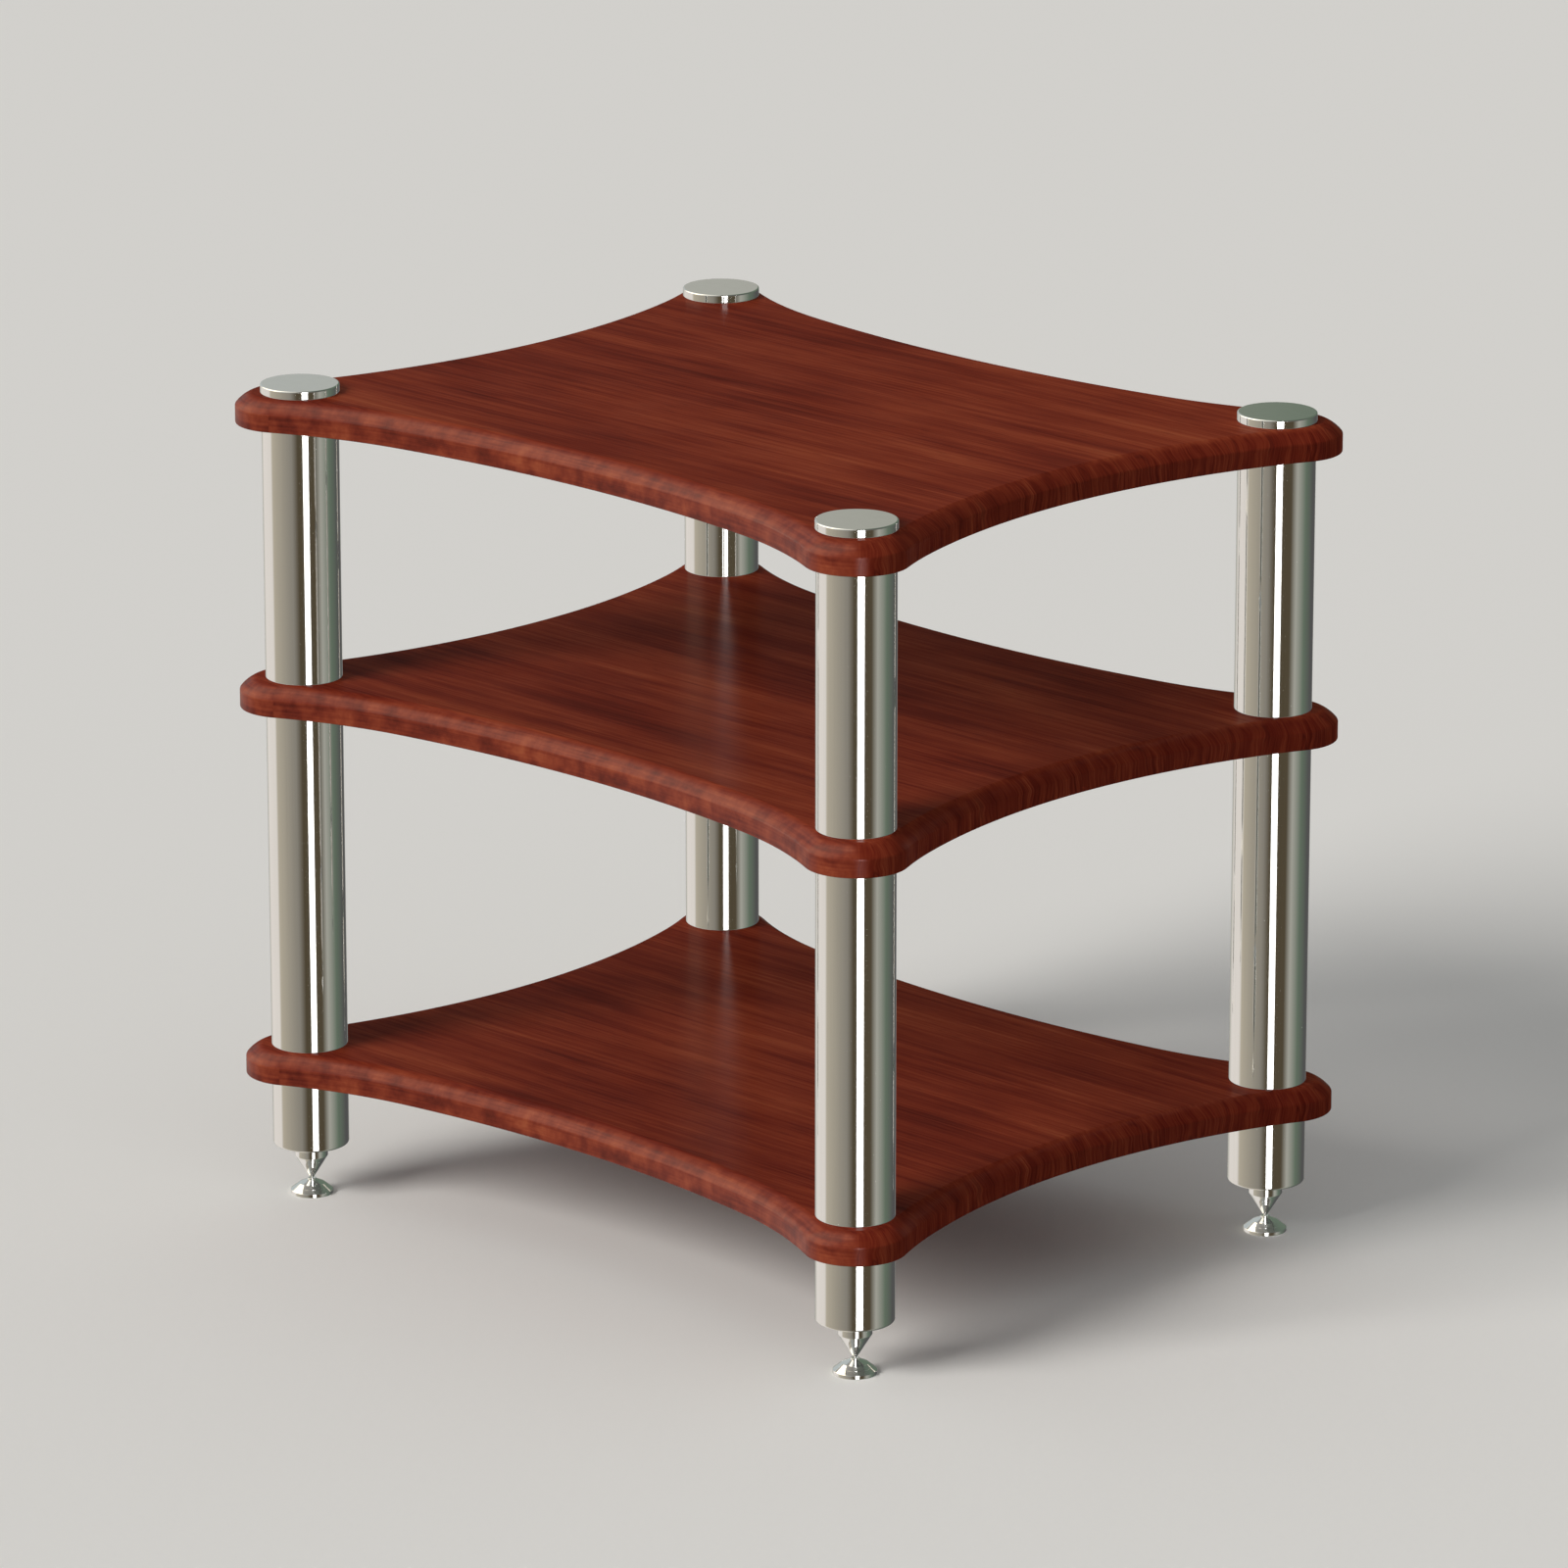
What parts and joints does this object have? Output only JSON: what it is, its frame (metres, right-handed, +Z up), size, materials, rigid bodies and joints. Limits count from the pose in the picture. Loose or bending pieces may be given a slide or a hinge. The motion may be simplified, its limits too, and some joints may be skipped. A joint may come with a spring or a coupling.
{
  "type": "audio equipment rack",
  "caption": "Open audio rack: waisted wooden shelf boards clamped between short round steel tubes at the corners, standing on cone spikes in floor pads.",
  "frame": {"origin": "on the floor, midway between the four posts", "axes": "+X to the right along the wide front, +Y from front to back, +Z up"},
  "size_m": [0.5786, 0.4624, 0.5495],
  "materials": {
    "veneer": "red stained veneer under satin gloss lacquer",
    "satin_steel": "satin polished stainless steel",
    "polished_steel": "mirror polished",
    "plated_steel": "zinc plated thread",
    "turned_alloy": "plain turned"
  },
  "bodies": {
    "rack": {"bottom_board": "veneer", "middle_board": "veneer", "top_board": "veneer", "front_left_leg_tube": "satin_steel", "front_left_leg_tube_top_insert": "turned_alloy", "front_left_leg_tube_bottom_insert": "turned_alloy", "front_left_lower_tube": "satin_steel", "front_left_lower_tube_top_insert": "turned_alloy", "front_left_lower_tube_bottom_insert": "turned_alloy", "front_left_upper_tube": "satin_steel", "front_left_upper_tube_top_insert": "turned_alloy", "front_left_upper_tube_bottom_insert": "turned_alloy", "front_left_lower_stud": "plated_steel", "front_left_upper_stud": "plated_steel", "front_left_top_cap": "satin_steel", "front_right_leg_tube": "satin_steel", "front_right_leg_tube_top_insert": "turned_alloy", "front_right_leg_tube_bottom_insert": "turned_alloy", "front_right_lower_tube": "satin_steel", "front_right_lower_tube_top_insert": "turned_alloy", "front_right_lower_tube_bottom_insert": "turned_alloy", "front_right_upper_tube": "satin_steel", "front_right_upper_tube_top_insert": "turned_alloy", "front_right_upper_tube_bottom_insert": "turned_alloy", "front_right_lower_stud": "plated_steel", "front_right_upper_stud": "plated_steel", "front_right_top_cap": "satin_steel", "back_left_leg_tube": "satin_steel", "back_left_leg_tube_top_insert": "turned_alloy", "back_left_leg_tube_bottom_insert": "turned_alloy", "back_left_lower_tube": "satin_steel", "back_left_lower_tube_top_insert": "turned_alloy", "back_left_lower_tube_bottom_insert": "turned_alloy", "back_left_upper_tube": "satin_steel", "back_left_upper_tube_top_insert": "turned_alloy", "back_left_upper_tube_bottom_insert": "turned_alloy", "back_left_lower_stud": "plated_steel", "back_left_upper_stud": "plated_steel", "back_left_top_cap": "satin_steel", "back_right_leg_tube": "satin_steel", "back_right_leg_tube_top_insert": "turned_alloy", "back_right_leg_tube_bottom_insert": "turned_alloy", "back_right_lower_tube": "satin_steel", "back_right_lower_tube_top_insert": "turned_alloy", "back_right_lower_tube_bottom_insert": "turned_alloy", "back_right_upper_tube": "satin_steel", "back_right_upper_tube_top_insert": "turned_alloy", "back_right_upper_tube_bottom_insert": "turned_alloy", "back_right_lower_stud": "plated_steel", "back_right_upper_stud": "plated_steel", "back_right_top_cap": "satin_steel"},
    "front_left_foot": {"front_left_floor_pad": "polished_steel"},
    "front_left_screw": {"front_left_spike": "polished_steel"},
    "front_right_foot": {"front_right_floor_pad": "polished_steel"},
    "front_right_screw": {"front_right_spike": "polished_steel"},
    "back_left_foot": {"back_left_floor_pad": "polished_steel"},
    "back_left_screw": {"back_left_spike": "polished_steel"},
    "back_right_foot": {"back_right_floor_pad": "polished_steel"},
    "back_right_screw": {"back_right_spike": "polished_steel"}
  },
  "joints": [
    {"name": "front_left_height", "type": "slide", "parent": "rack", "child": "front_left_foot", "axis": [0, 0, -1], "range_m": [0, 0.012]},
    {"name": "front_left_turn", "type": "hinge", "parent": "front_left_foot", "child": "front_left_screw", "pos_m": [-0.25, -0.192, 0.035], "axis": [0, 0, -1], "range_deg": [0, 2880]},
    {"name": "front_right_height", "type": "slide", "parent": "rack", "child": "front_right_foot", "axis": [0, 0, -1], "range_m": [0, 0.012]},
    {"name": "front_right_turn", "type": "hinge", "parent": "front_right_foot", "child": "front_right_screw", "pos_m": [0.25, -0.192, 0.035], "axis": [0, 0, -1], "range_deg": [0, 2880]},
    {"name": "back_left_height", "type": "slide", "parent": "rack", "child": "back_left_foot", "axis": [0, 0, -1], "range_m": [0, 0.012]},
    {"name": "back_left_turn", "type": "hinge", "parent": "back_left_foot", "child": "back_left_screw", "pos_m": [-0.25, 0.192, 0.035], "axis": [0, 0, -1], "range_deg": [0, 2880]},
    {"name": "back_right_height", "type": "slide", "parent": "rack", "child": "back_right_foot", "axis": [0, 0, -1], "range_m": [0, 0.012]},
    {"name": "back_right_turn", "type": "hinge", "parent": "back_right_foot", "child": "back_right_screw", "pos_m": [0.25, 0.192, 0.035], "axis": [0, 0, -1], "range_deg": [0, 2880]}
  ],
  "couplings": [
    {"joint": "front_left_turn", "follows": "front_left_height", "rad_per_m": 4188.8},
    {"joint": "front_right_turn", "follows": "front_right_height", "rad_per_m": 4188.8},
    {"joint": "back_left_turn", "follows": "back_left_height", "rad_per_m": 4188.8},
    {"joint": "back_right_turn", "follows": "back_right_height", "rad_per_m": 4188.8}
  ]
}
